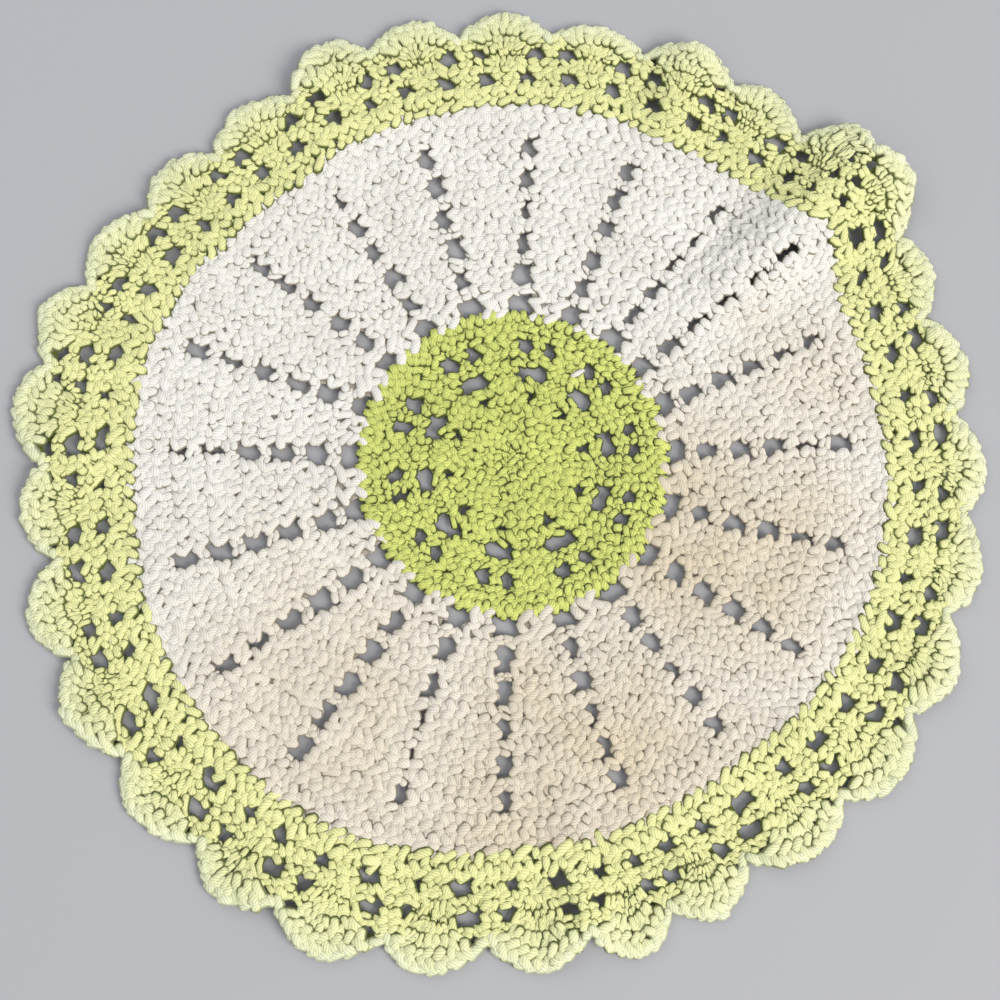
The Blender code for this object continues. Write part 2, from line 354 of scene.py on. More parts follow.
def lift(angle, radius):
    """How far the underside stands up from the surface."""
    total = np.zeros(np.broadcast(angle, radius).shape)
    for at, half_width, starts, full, height in FOLDS:
        away = np.abs((angle - at + 180.0) % FULL_TURN - 180.0) / half_width
        total += height * ease(1.0 - away) * ease((radius - starts) / (full - starts))
    return total


def spot(angle, radius):
    """A flat point, as x + y i in millimetres."""
    return radius * np.exp(1j * np.radians(90.0 - np.asarray(angle)))


def middle_of_outline():
    """The middle of the outline's box, which lies over the origin."""
    angle = np.arange(4 * int(FULL_TURN)) / 4
    reach = spot(angle, outline(angle))
    x, y = reach.real, reach.imag
    return (x.min() + x.max()) / 2 + 1j * (y.min() + y.max()) / 2


MIDDLE = middle_of_outline()


def laid(points, heights):
    """Flat points at these heights, laid over the folds, in metres."""
    angle = np.degrees(np.arctan2(points.real, points.imag))
    moved = points - MIDDLE
    z = heights + lift(angle, np.abs(points))
    return np.stack((moved.real, moved.imag, z), axis=-1) * MM


def cells_between(foot_left, foot_right, top_left, top_right):
    """Cells of stitches from their corners, one row each."""
    return np.stack(np.broadcast_arrays(foot_left, foot_right, top_left, top_right), axis=-1)


def row_of(count, foot, top, loose=0.10):
    """Uneven cells side by side: foot and top turn a share from 0 to 1 into flat points."""
    sides = []
    for side in (foot, top):
        marks = np.linspace(0.0, 1.0, count + 1)
        marks[1:-1] += rng.normal(0.0, loose / count, count - 1)
        points = side(marks)
        slack = rng.normal(0.0, 0.2, count + 1)
        slack[-1] = slack[0]
        sides.append(points * (1.0 + slack / np.abs(points)))
    feet, tops = sides
    return cells_between(feet[:-1], feet[1:], tops[:-1], tops[1:])


def inside(cells, across, up):
    """Flat points in cells: across from -0.5 to 0.5, up from foot to top."""
    left = cells[:, 0:1] + (cells[:, 2:3] - cells[:, 0:1]) * up
    right = cells[:, 1:2] + (cells[:, 3:4] - cells[:, 1:2]) * up
    return left + (right - left) * (across + 0.5)


def tallness(cells):
    """How far each cell reaches from foot to top."""
    return np.abs((cells[:, 2] + cells[:, 3] - cells[:, 0] - cells[:, 1]) / 2)[:, None]


class Work:
    """The strands of one piece, gathered before they become a mesh."""

    def __init__(self):
        self.strands = []

    def strand(self, points, heights, radius, tone, pale=0.0):
        """Adds strands: rows of flat points, heights and radii, and a tone for each row."""
        count, steps = points.shape
        radius = np.broadcast_to(radius, points.shape)
        tone = np.broadcast_to(tone, (count, 1))
        pale = np.broadcast_to(pale, points.shape)
        heights = np.maximum(heights, FLAT * radius + 0.05)
        self.strands.append((laid(points, heights), radius * MM, tone, pale))

    def stitches(
        self,
        cells,
        lobe,
        slants=SLANTS,
        pale=(0.0, 0.0),
        rise=0.0,
        plump=0.66,
        uneven=8.0,
        closed=False,
    ):
        """Plump lobes of yarn up each cell, and others lower between them."""
        rows = max(1, round(float(tallness(cells).mean()) / lobe))
        foot, top = (cells[:, 0] + cells[:, 1]) / 2, (cells[:, 2] + cells[:, 3]) / 2
        between = cells_between(foot, np.roll(foot, -1), top, np.roll(top, -1))
        if not closed:
            between = between[:-1]
        low = rise - LOBE_BETWEEN
        for row in range(rows):
            slant = slants[row % len(slants)]
            self.lobes(cells, (row + 0.5) / rows, rows, slant, pale, rise, plump, uneven)
            if len(between):
                self.lobes(between, (row + 1.0) / rows, rows, -slant, pale, low, plump, uneven)

    def chains(self, ends, half_depth):
        """Chains across a gap from end to end, reaching this far to either side."""
        sides = np.array((1.0, 0.0, -1.0)) * half_depth * ends.sum() / np.abs(ends.sum())
        left, right = ends[:, None] + sides
        cells = cells_between(left[:-1], left[1:], right[:-1], right[1:])
        self.stitches(cells, CHAIN_LOBE, CHAIN_SLANTS)

    def lobes(self, cells, place, rows, slant, pale, rise, plump, uneven):
        """One plump lobe of yarn in each cell, at a share of its height."""
        each = (len(cells), 1)
        tall = tallness(cells)
        high = tall / rows
        along = np.sin(np.linspace(-np.pi / 2, np.pi / 2, LOBE_STEPS))[None, :]
        dome = 1.0 - along**2
        place = place + rng.normal(0.0, PLACE_VARIES, each) / rows
        wide = np.abs(inside(cells, 0.5, place) - inside(cells, -0.5, place))
        wide = np.maximum(wide, LOBE_NARROWEST)
        turned = np.where(rng.random(each) < LOBE_TURNED, -1.0, 1.0)
        slant = np.radians(turned * rng.normal(slant, uneven, each))
        half = LOBE_HALF * np.hypot(wide, high) * rng.normal(1.0, LENGTH_VARIES, each)
        thick = np.clip(plump * np.minimum(wide, high), *LOBE_RADII)
        thick = thick * rng.normal(1.0, THICKNESS_VARIES, each)
        bend = rng.normal(*LOBE_BEND, each) * dome
        across = half * (np.sin(slant) * along + np.cos(slant) * bend) / wide
        up = place + half * (np.cos(slant) * along - np.sin(slant) * bend) / tall
        across = across + rng.normal(0.0, ACROSS_VARIES, each)
        tilt = rng.normal(*LOBE_TILT, each) * along
        heights = CLOTH_MIDDLE + rise + LOBE_DOME * dome + tilt
        heights = heights + rng.normal(0.0, HEIGHT_VARIES, each)
        shade = pale[0] + (pale[1] - pale[0]) * np.clip(up, 0.0, 1.0)
        tone = rng.normal(0.0, 1.0, each)
        thick = thick * np.sqrt(1.0 - LOBE_POINTED * along**4)
        self.strand(inside(cells, across, up), heights, thick, tone, shade)

    def mesh(self, name):
        """Turns the strands into a mesh of tubes with closed ends."""
        points, strand, tone, pale, crest, corners, sizes = ([] for _ in range(7))
        used = 0
        turned = np.arange(SIDES) / SIDES * 2 * np.pi
        for path, radius, tones, pales in self.strands:
            count, steps, _ = path.shape
            along = np.gradient(path, axis=1)
            along /= np.linalg.norm(along, axis=2, keepdims=True)
            top = np.array((0.0, 0.0, 1.0)) - along * along[..., 2:3]
            top /= np.maximum(np.linalg.norm(top, axis=2, keepdims=True), 1e-6)
            side = np.cross(along, top)
            ring = np.cos(turned)[:, None] * side[:, :, None]
            ring = ring + FLAT * np.sin(turned)[:, None] * top[:, :, None]
            points.append((path[:, :, None] + ring * radius[..., None, None]).reshape(-1, 3))
            length = np.linalg.norm(np.diff(path, axis=1), axis=2).cumsum(axis=1) / MM
            length = np.hstack((np.zeros((count, 1)), length)) + PLY_SHIFT * tones
            spread = np.ones((count, steps, SIDES))
            around = (length[..., None], np.cos(turned), np.sin(turned))
            strand.append(np.stack([part * spread for part in around], axis=-1).reshape(-1, 3))
            tone.append((tones[..., None] * spread).ravel())
            pale.append((pales[..., None] * spread).ravel())
            # The crest: high along the top and underside of a strand, low on its flanks and thin
            # ends, where the material paints shade
            fullness = (radius / radius.max(axis=1, keepdims=True))[..., None]
            crest.append((np.abs(np.sin(turned)) * fullness).ravel())
            index = used + np.arange(count * steps * SIDES).reshape(count, steps, SIDES)
            near, far = index[:, :-1], index[:, 1:]
            quads = np.stack((near, far, np.roll(far, -1, 2), np.roll(near, -1, 2)), axis=-1)
            corners += [quads.ravel(), index[:, 0].ravel(), index[:, -1, ::-1].ravel()]
            sizes += [np.full(quads.size // 4, 4), np.full(2 * count, SIDES)]
            used += index.size
        corners, sizes = np.concatenate(corners), np.concatenate(sizes)
        mesh = bpy.data.meshes.new(name)
        mesh.vertices.add(used)
        mesh.vertices.foreach_set("co", np.concatenate(points).astype(np.float32).ravel())
        mesh.loops.add(len(corners))
        mesh.loops.foreach_set("vertex_index", corners.astype(np.int32))
        mesh.polygons.add(len(sizes))
        starts = np.concatenate(([0], sizes.cumsum()[:-1]))
        mesh.polygons.foreach_set("loop_start", starts.astype(np.int32))
        mesh.polygons.foreach_set("use_smooth", np.ones(len(sizes), bool))
        mesh.update(calc_edges=True)
        for title, kind, key, rows in (
            ("strand", "FLOAT_VECTOR", "vector", strand),
            ("tone", "FLOAT", "value", tone),
            ("pale", "FLOAT", "value", pale),
            ("crest", "FLOAT", "value", crest),
        ):
            layer = mesh.attributes.new(title, kind, "POINT")
            layer.data.foreach_set(key, np.concatenate(rows).astype(np.float32).ravel())
        return mesh


def show(name, mesh, materials):
    """Makes an object of a mesh, riding on the doily."""
    for material in materials:
        mesh.materials.append(material)
    piece = bpy.data.objects.new(name, mesh)
    bpy.context.scene.collection.objects.link(piece)
    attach(piece, "root")
    return piece


def centre_spot(angle, radius):
    """A flat point of the centre, which has drawn in unevenly."""
    at, pull = np.array(CENTRE_GAPS).T
    low, high, share = marks_at(at, angle)
    drawn = pull[low] + (pull[high] - pull[low]) * ease(share)
    circles, shares = np.array(DRAWN_IN).T
    return spot(angle, radius - drawn * np.interp(radius, circles, shares))


def gap_line(wedge, radius):
    """The angle of a line of gaps at a radius."""
    wedge = np.asarray(wedge)
    lines = np.array(GAP_LINES)[wedge % len(GAP_LINES)]
    lean = (lines[..., 1] - lines[..., 0]) / (FIELD_EDGE - CENTRE_EDGE)
    return wedge // len(GAP_LINES) * FULL_TURN + lines[..., 0] + lean * (radius - CENTRE_EDGE)


def field_spot(angle, radius):
    """A flat point of the field, which is pulled out or in towards its edge."""
    spread = (radius - CENTRE_EDGE) / (FIELD_EDGE - CENTRE_EDGE)
    return spot(angle, radius + (field_edge(angle) - FIELD_EDGE) * np.clip(spread, 0.0, 1.0))


def border_spot(scallop, share, offset):
    """A flat point of the border, at a share of a scallop and this far out from the field."""
    angle = scallop_angle(scallop, share)
    return spot(angle, field_edge(angle) + offset)


def scallop_angle(scallop, share):
    """The angle at a share of a scallop, whose tip is at the share 0.5."""
    tip_at, _, _, ends, _ = SCALLOPS[scallop]
    starts = ends - (ends - SCALLOPS[scallop - 1][3]) % FULL_TURN
    tip_share = (tip_at - starts) % FULL_TURN / (ends - starts)
    share = np.asarray(share, float)
    low = share * 2 * tip_share
    high = tip_share + (share - 0.5) * 2 * (1 - tip_share)
    return starts + (ends - starts) * np.where(share < 0.5, low, high)


def edge_spot(angle, offset):
    """A flat point this far out from the field. Past the shells, offsets stretch to the edge."""
    angle = np.asarray(angle)
    edge = field_edge(angle)
    past = (offset - SHELL_TOP) / (LACE_DEPTH - SHELL_TOP)
    stretched = edge + SHELL_TOP + past * (outline(angle) - RIM_INSET - edge - SHELL_TOP)
    return spot(angle, np.where(past > 0, stretched, edge + offset))


def rim_spot(scallop, share, inset):
    """A flat point this far inside the scalloped edge."""
    angle = scallop_angle(scallop, share)
    return spot(angle, outline(angle) - inset)


class SheetSizes(bpy.types.PropertyGroup):
    """Sizes of the yarn and its stitches"""

    lobe: bpy.props.FloatProperty(
        name="Lobe",
        description="How far one lobe of a tall stitch reaches, in millimetres",
        default=3.2,
        min=2.0,
        max=6.0,
    )
    ground: bpy.props.FloatProperty(
        name="Ground",
        description="Thickness of the cloth inside the stitches",
        default=0.0008,
        subtype="DISTANCE",
        unit="LENGTH",
    )
    ground_height: bpy.props.FloatProperty(
        name="Ground height",
        description="Height of the middle of the cloth inside the stitches",
        default=0.0016,
        subtype="DISTANCE",
        unit="LENGTH",
    )
    ply_turn: bpy.props.FloatProperty(
        name="Ply turn",
        description="Length of strand in which its plies turn once, in millimetres",
        default=13.0,
    )


class YarnColours(bpy.types.PropertyGroup):
    """Colours of the three yarns and of what has happened to them"""

    centre: bpy.props.FloatVectorProperty(
        name="Centre",
        description="The darker green of the middle",
        subtype="COLOR",
        size=4,
        default=(0.75, 0.80, 0.22, 1.0),
    )
    field: bpy.props.FloatVectorProperty(
        name="Field",
        description="The off-white of the wedges",
        subtype="COLOR",
        size=4,
        default=(0.90, 0.87, 0.80, 1.0),
    )
    border: bpy.props.FloatVectorProperty(
        name="Border",
        description="The pale lime of the border",
        subtype="COLOR",
        size=4,
        default=(0.91, 0.90, 0.42, 1.0),
    )
    stain: bpy.props.FloatVectorProperty(
        name="Stain",
        description="The tan where the white has yellowed",
        subtype="COLOR",
        size=4,
        default=(0.70, 0.57, 0.36, 1.0),
    )
    rim: bpy.props.FloatVectorProperty(
        name="Rim",
        description="The whitish green at the scallops' edge",
        subtype="COLOR",
        size=4,
        default=(0.90, 0.91, 0.62, 1.0),
    )


class StageSettings(bpy.types.PropertyGroup):
    """The floor and the lights"""

    floor: bpy.props.FloatVectorProperty(
        name="Floor",
        description="Colour of the floor",
        subtype="COLOR",
        size=4,
        default=(0.42, 0.42, 0.43, 1.0),
    )
    key: bpy.props.FloatProperty(
        name="Key light",
        description="Power of the large light at the lower right",
        default=48.0,
        subtype="POWER",
        unit="POWER",
    )
    fill: bpy.props.FloatProperty(
        name="Fill light",
        description="Power of the large light at the upper left",
        default=4.6,
        subtype="POWER",
        unit="POWER",
    )


def shader_group(name, inputs, outputs):
    """An empty node group, with the values that go in and out of it."""
    group = bpy.data.node_groups.new(name, "ShaderNodeTree")
    for title, default in inputs:
        socket = group.interface.new_socket(title, in_out="INPUT", socket_type="NodeSocketFloat")
        socket.default_value = default
    for title in outputs:
        group.interface.new_socket(title, in_out="OUTPUT", socket_type="NodeSocketFloat")
    given = group.nodes.new("NodeGroupInput").outputs
    out = group.nodes.new("NodeGroupOutput").inputs
    return group, given, out


def sums_in(tree):
    """A function that adds a sum of numbers and sockets to a node tree."""

    def maths(operation, *values):
        node = tree.nodes.new("ShaderNodeMath")
        node.operation = operation
        for socket, value in zip(node.inputs, values):
            if isinstance(value, float):
                socket.default_value = value
            else:
                tree.links.new(value, socket)
        return node.outputs[0]

    return maths


def noise_in(tree, scale, detail, distortion=0.0):
    """Noise over the whole cloth."""
    place = tree.nodes.new("ShaderNodeTexCoord")
    noise = tree.nodes.new("ShaderNodeTexNoise")
    for title, value in (("Scale", scale), ("Detail", detail), ("Distortion", distortion)):
        noise.inputs[title].default_value = value
    tree.links.new(place.outputs["Object"], noise.inputs["Vector"])
    return noise.outputs[0]


def ply_group():
    """The plies of a strand and its fuzz, from the strand's own coordinates, and where painted
    shade falls between the plies.
    """
    inputs = ("Plies", 9.0), ("Ply Turn", 13.0), ("Fuzz", 0.3)
    group, given, out = shader_group("yarn_plies", inputs, ("Height", "Crease", "Fibre"))
    maths = sums_in(group)
    strand = group.nodes.new("ShaderNodeAttribute")
    strand.attribute_name = "strand"
    parts = group.nodes.new("ShaderNodeSeparateXYZ")
    group.links.new(strand.outputs["Vector"], parts.inputs[0])
    around = maths("ARCTAN2", parts.outputs["Z"], parts.outputs["Y"])
    wound = maths("DIVIDE", maths("MULTIPLY", parts.outputs["X"], 2 * np.pi), given["Ply Turn"])
    phase = maths("MULTIPLY", maths("ADD", around, wound), given["Plies"])
    crest = maths("ABSOLUTE", maths("SINE", maths("MULTIPLY", phase, 0.5)))
    rounded = maths("POWER", crest, 0.55)
    fibres = noise_in(group, 1900.0, 2.0, 0.6)
    fuzz = maths("MULTIPLY", fibres, given["Fuzz"])
    group.links.new(maths("ADD", rounded, fuzz), out["Height"])
    group.links.new(maths("SUBTRACT", 1.0, rounded), out["Crease"])
    group.links.new(fibres, out["Fibre"])


def yellowing_group():
    """Where the white has yellowed: soft patches, broken by noise."""
    inputs = ("Reach", 1.0), ("Patchiness", 0.45)
    group, given, out = shader_group("yellowed_patches", inputs, ("Mask",))
    maths = sums_in(group)
    place = group.nodes.new("ShaderNodeTexCoord")
    total = None
    for centre, reach, strength in YELLOWED:
        away = group.nodes.new("ShaderNodeVectorMath")
        away.operation = "DISTANCE"
        away.inputs[1].default_value = centre
        group.links.new(place.outputs["Object"], away.inputs[0])
        near = group.nodes.new("ShaderNodeMapRange")
        near.interpolation_type = "SMOOTHSTEP"
        group.links.new(away.outputs["Value"], near.inputs["Value"])
        group.links.new(maths("MULTIPLY", given["Reach"], reach), near.inputs["From Min"])
        near.inputs["From Max"].default_value = 0.0
        near.inputs["To Max"].default_value = strength
        total = near.outputs[0] if total is None else maths("MAXIMUM", total, near.outputs[0])
    cloudy = group.nodes.new("ShaderNodeMapRange")
    cloudy.inputs["From Min"].default_value = 0.30
    cloudy.inputs["From Max"].default_value = 0.68
    group.links.new(noise_in(group, 26.0, 4.0), cloudy.inputs["Value"])
    broken = maths("MULTIPLY", cloudy.outputs[0], given["Patchiness"])
    kept = maths("ADD", maths("SUBTRACT", 1.0, given["Patchiness"]), broken)
    group.links.new(maths("MULTIPLY", total, kept), out["Mask"])


def yarn_material(name, colour, shade, deep, rim=None, stain=None):
    """A matt plied cotton: painted shade between the plies and in the hollows between the lobes,
    and a darker tone at random from stitch to stitch.
    """
    settings = bpy.context.scene.doily_sizes
    material = bpy.data.materials.new(name)
    material.use_nodes = True
    material.diffuse_color = colour
    nodes, links = material.node_tree.nodes, material.node_tree.links
    shader = nodes["Principled BSDF"]
    shader.inputs["Roughness"].default_value = 0.88
    shader.inputs["Specular IOR Level"].default_value = 0.22
    shader.inputs["Sheen Weight"].default_value = 0.18
    shader.inputs["Sheen Roughness"].default_value = 0.45

    def mixed(mode, factor, low, high):
        node = nodes.new("ShaderNodeMix")
        node.data_type = "RGBA"
        node.blend_type = mode
        for index, value in zip(MIX_INPUTS, (factor, low, high)):
            if isinstance(value, (float, tuple)):
                node.inputs[index].default_value = value
            else:
                links.new(value, node.inputs[index])
        return node.outputs[MIX_RESULT]

    def ranged(value, low, high, to_low, to_high):
        node = nodes.new("ShaderNodeMapRange")
        ends = {"From Min": low, "From Max": high, "To Min": to_low, "To Max": to_high}
        for title, number in ends.items():
            node.inputs[title].default_value = number
        links.new(value, node.inputs["Value"])
        return node.outputs[0]

    def attribute(title):
        node = nodes.new("ShaderNodeAttribute")
        node.attribute_name = title
        return node.outputs["Fac"]

    plies = nodes.new("ShaderNodeGroup")
    plies.node_tree = bpy.data.node_groups["yarn_plies"]
    plies.inputs["Ply Turn"].default_value = settings.ply_turn
    drift = noise_in(material.node_tree, 38.0, 3.0)

    now = tuple(colour)
    if rim is not None:
        now = mixed("MIX", attribute("pale"), now, tuple(rim))
    if stain is not None:
        patches = nodes.new("ShaderNodeGroup")
        patches.node_tree = bpy.data.node_groups["yellowed_patches"]
        now = mixed("MIX", ranged(patches.outputs["Mask"], 0.0, 1.0, 0.0, 0.85), now, tuple(stain))
    # A darker tone at random, over the cloth and from strand to strand, in the colour of the
    # painted shade
    now = mixed("MIX", ranged(drift, 0.35, 0.75, 0.0, 0.14), now, shade)
    now = mixed("MIX", ranged(attribute("tone"), -2.0, 2.5, 0.14, 0.0), now, shade)
    # Painted shade in the creases between the plies
    now = mixed("MIX", ranged(plies.outputs["Crease"], 0.15, 1.0, 0.0, 0.50), now, shade)
    # Painted shade in the hollows, where a strand's crest falls away on its flanks and thin ends
    painted_hollow_shade = ranged(attribute("crest"), deep, deep / 2, 0.0, 0.96)
    # Less painted shade at the pale rim
    if rim is not None:
        kept = ranged(attribute("pale"), 0.4, 1.0, 1.0, 0.35)
        painted_hollow_shade = sums_in(material.node_tree)("MULTIPLY", painted_hollow_shade, kept)
    now = mixed("MIX", painted_hollow_shade, now, shade)
    links.new(now, shader.inputs["Base Color"])
    links.new(ranged(plies.outputs["Fibre"], 0.3, 0.7, 0.80, 0.95), shader.inputs["Roughness"])
    relief = nodes.new("ShaderNodeBump")
    relief.inputs["Strength"].default_value = 0.5
    relief.inputs["Distance"].default_value = 0.00016
    links.new(plies.outputs["Height"], relief.inputs["Height"])
    links.new(relief.outputs[0], shader.inputs["Normal"])
    return material


def yarn_materials():
    """The three yarns, made once."""
    made = bpy.data.materials
    if "centre_cotton" in made:
        return made["centre_cotton"], made["field_cotton"], made["border_cotton"]
    colours = bpy.context.scene.doily_colours
    ply_group()
    yellowing_group()
    # Each yarn darkens towards its painted shade in the hollows and between its plies
    centre = yarn_material("centre_cotton", colours.centre, *CENTRE_TONE_AND_PAINTED_SHADE)
    field = yarn_material("field_cotton", colours.field, *FIELD_TONE_AND_PAINTED_SHADE, stain=colours.stain)
    border = yarn_material("border_cotton", colours.border, *BORDER_TONE_AND_PAINTED_SHADE, rim=colours.rim)
    return centre, field, border


def ground_grid(angles, radii, is_open, cuts, place=spot):
    """Points and faces of a ring of cells, each cut finer, with the open ones left out."""

    def finer(table):
        rows = np.linspace(0, table.shape[0] - 1, (table.shape[0] - 1) * cuts + 1)
        i = np.minimum(rows.astype(int), table.shape[0] - 2)
        t = (rows - i)[:, None]
        table = table[i] * (1 - t) + table[i + 1] * t
        columns = np.linspace(0, table.shape[1] - 1, (table.shape[1] - 1) * cuts + 1)
        j = np.minimum(columns.astype(int), table.shape[1] - 2)
        t = columns - j
        return table[:, j] * (1 - t) + table[:, j + 1] * t

    angle, radius = finer(angles), finer(radii)
    index = np.arange(angle.size).reshape(angle.shape)
    kept = ~np.repeat(np.repeat(is_open, cuts, 0), cuts, 1)
    around = index[:-1, :-1], index[:-1, 1:], index[1:, 1:], index[1:, :-1]
    quads = np.stack(around, axis=-1)[kept]
    heights = np.full(angle.shape, bpy.context.scene.doily_sizes.ground_height / MM)
    return laid(place(angle, radius), heights).reshape(-1, 3), quads


class DOILY_OT_ground(bpy.types.Operator):
    """Lays the thin cloth inside the stitches, painted in the yarn's shade"""

    bl_idname = "doily.ground"
    bl_label = "Ground"

    def execute(self, context):
        points, faces, indices, used = [], [], [], 0
        for index, (spots, quads) in enumerate(
            (self.centre_ground(), self.field_ground(), self.border_ground())
        ):
            points.append(spots)
            faces.append(quads + used)
            indices.append(np.full(len(quads), index, np.int32))
            used += len(spots)
        mesh = bpy.data.meshes.new("doily_ground")
        mesh.from_pydata(np.concatenate(points).tolist(), [], np.concatenate(faces).tolist())
        piece = show("doily_ground", mesh, yarn_materials())
        mesh.polygons.foreach_set("material_index", np.concatenate(indices))
        # Its low crest paints the ground in shade: nearly fully in the greens, about 0.6 in the
        # white
        layer = mesh.attributes.new("crest", "FLOAT", "POINT")
        layer.data.foreach_set("value", np.full(used, GROUND_CREST, np.float32))
        mesh.polygons.foreach_set("use_smooth", np.ones(len(mesh.polygons), bool))
        thicken = piece.modifiers.new("thickness", "SOLIDIFY")
        thicken.thickness = context.scene.doily_sizes.ground
        thicken.offset = 0.0
        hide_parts("green_centre", "white_field", "green_border")
        return {"FINISHED"}

    def centre_ground(self):
        """The centre's cells, from one large gap's middle to the next."""
        shares, radii = np.array(GROUND_SHARES), np.array(GROUND_CIRCLES)
        gaps = [at for at, _ in CENTRE_GAPS]
        angles = []
        for i, at in enumerate(gaps):
            before = (at - gaps[i - 1]) % FULL_TURN
            after = (gaps[(i + 1) % len(gaps)] - at) % FULL_TURN
            angles += list(at + shares * np.where(shares < 0, before, after))
        angles.append(angles[0] + FULL_TURN)
        step = np.arange(len(angles) - 1) % len(shares)
        is_open = np.zeros((len(angles) - 1, len(radii) - 1), bool)
        is_open[step == 2, SMALL_GAPS] = True
        for circle in LARGE_GAPS:
            is_open[(step > 0) & (step < 4), circle] = True
        table = np.repeat(np.array(angles)[:, None], len(radii), 1)
        return ground_grid(table, np.broadcast_to(radii, table.shape), is_open, 2, centre_spot)

    def field_ground(self):
        """The field's cells: a line of gaps, then a wedge of three."""
        past_foot, past_top = GROUND_BACK
        rows = [(GROUND_SEAM, 5.2, True)]
        for outer, _, at_foot, at_top in FIELD_ROUNDS[:-1]:
            rows.append((outer - GROUND_BAR, at_top + past_top, False))
            rows.append((outer + GROUND_BAR, at_foot + past_foot, True))
        rows[-1] = (rows[-1][0], GROUND_SHUT, False)
        rows.append((FIELD_EDGE, GROUND_SHUT, False))
        radii = np.array([row[0] for row in rows])
        half = np.degrees(np.array([row[1] for row in rows]) / radii)
        angles = []
        for wedge in range(len(GAP_LINES) + 1):
            starts = gap_line(wedge, radii) + half
            ends = gap_line(wedge + 1, radii) - half
            angles.append(starts - 2 * half)
            angles += [starts + (ends - starts) * share for share in (0.0, 1 / 3, 2 / 3)]
        angles = np.array(angles[: 4 * len(GAP_LINES) + 1])
        is_open = np.zeros((len(angles) - 1, len(radii) - 1), bool)
        is_open[::4] = [row[2] for row in rows[:-1]]
        return ground_grid(angles, np.broadcast_to(radii, angles.shape), is_open, 2, field_spot)

    def border_ground(self):
        """The border's cells, from valley to valley. Past the shells they stretch to the edge."""
        shares = np.unique([share for box in BORDER_GAPS for share in box[:2]])
        shares = np.concatenate((shares, 1 - shares))
        shares = np.unique(np.concatenate((shares, (0.0, 0.5))).round(4))
        offsets = np.unique([offset for box in BORDER_GAPS for offset in box[2:]])
        offsets = np.concatenate(((0.0,), offsets, (LACE_DEPTH,)))
        angles = np.concatenate([scallop_angle(i, shares) for i in range(len(SCALLOPS))])
        angles = np.append(angles, angles[0] + FULL_TURN)
        share = np.tile((shares + np.append(shares[1:], 1.0)) / 2, len(SCALLOPS))
        share = np.minimum(share, 1 - share)[:, None]
        offset = (offsets[1:] + offsets[:-1]) / 2
        is_open = np.zeros((len(share), len(offset)), bool)
        for start, end, inner, outer in BORDER_GAPS:
            is_open |= (share > start) & (share < end) & (offset > inner) & (offset < outer)
        angles = np.repeat(angles[:, None], len(offsets), 1)
        return ground_grid(angles, np.broadcast_to(offsets, angles.shape), is_open, 1, edge_spot)


class DOILY_OT_centre(bpy.types.Operator):
    """Works the green centre, from the first ring outwards"""

    bl_idname = "doily.centre"
    bl_label = "Green centre"

    def execute(self, context):
        lobe = context.scene.doily_sizes.lobe
        centre, _, _ = yarn_materials()
        work = Work()
        foot = FIRST_RING
        for outer, count in CLOSE_ROUNDS:
            self.round(work, count, foot, outer, lobe)
            foot = outer
        show("centre_close_rounds", work.mesh("centre_close_rounds"), (centre,))

        work = Work()
        for outer, count, at_foot, at_top, posts, post_end in REPEAT_ROUNDS:
            for repeat, (gap, _) in enumerate(CENTRE_GAPS):
                after = (CENTRE_GAPS[(repeat + 1) % len(CENTRE_GAPS)][0] - gap) % FULL_TURN / 2
                before = (gap - CENTRE_GAPS[repeat - 1][0]) % FULL_TURN / 2
                slack = np.clip(rng.normal(1.0, 0.09, 4), 0.8, 1.2)
                ends = 2.0 - np.array((at_foot, at_top)) * slack[:2]
                starts = np.array((at_foot, at_top)) * slack[2:]
                edges = [gap - before * at_top, gap + after * at_top]
                groups = [(count, gap + after * starts, gap + after * ends)]
                if posts:
                    post = gap - before * post_end, gap + after * post_end
                    groups.append((posts, np.full(2, post[0]), np.full(2, post[1])))
                    edges[1:1] = post
                for stitches, left, right in groups:
                    cells = row_of(
                        stitches,
                        lambda share: centre_spot(left[0] + (right[0] - left[0]) * share, foot),
                        lambda share: centre_spot(left[1] + (right[1] - left[1]) * share, outer),
                    )
                    work.stitches(cells, lobe)
                for left, right in zip(edges[::2], edges[1::2]):
                    work.chains(centre_spot(np.array((left - 2.0, right + 2.0)), outer), 2.5)
            foot = outer
        show("centre_openwork", work.mesh("centre_openwork"), (centre,))

        work = Work()
        self.round(work, LAST_CENTRE_STITCHES, foot, CENTRE_EDGE - 0.6, lobe, UPRIGHT_SLANTS)
        show("centre_last_round", work.mesh("centre_last_round"), (centre,))
        return {"FINISHED"}

    def round(self, work, count, foot, outer, lobe, slants=SLANTS):
        """A close round, with its stitches leaning a little."""
        turned = FULL_TURN * rng.random()
        lean = np.degrees(LEAN / outer)
        cells = row_of(
            count,
            lambda share: centre_spot(turned + FULL_TURN * share, foot),
            lambda share: centre_spot(turned + lean + FULL_TURN * share, outer),
        )
        work.stitches(cells, lobe, slants, closed=True)


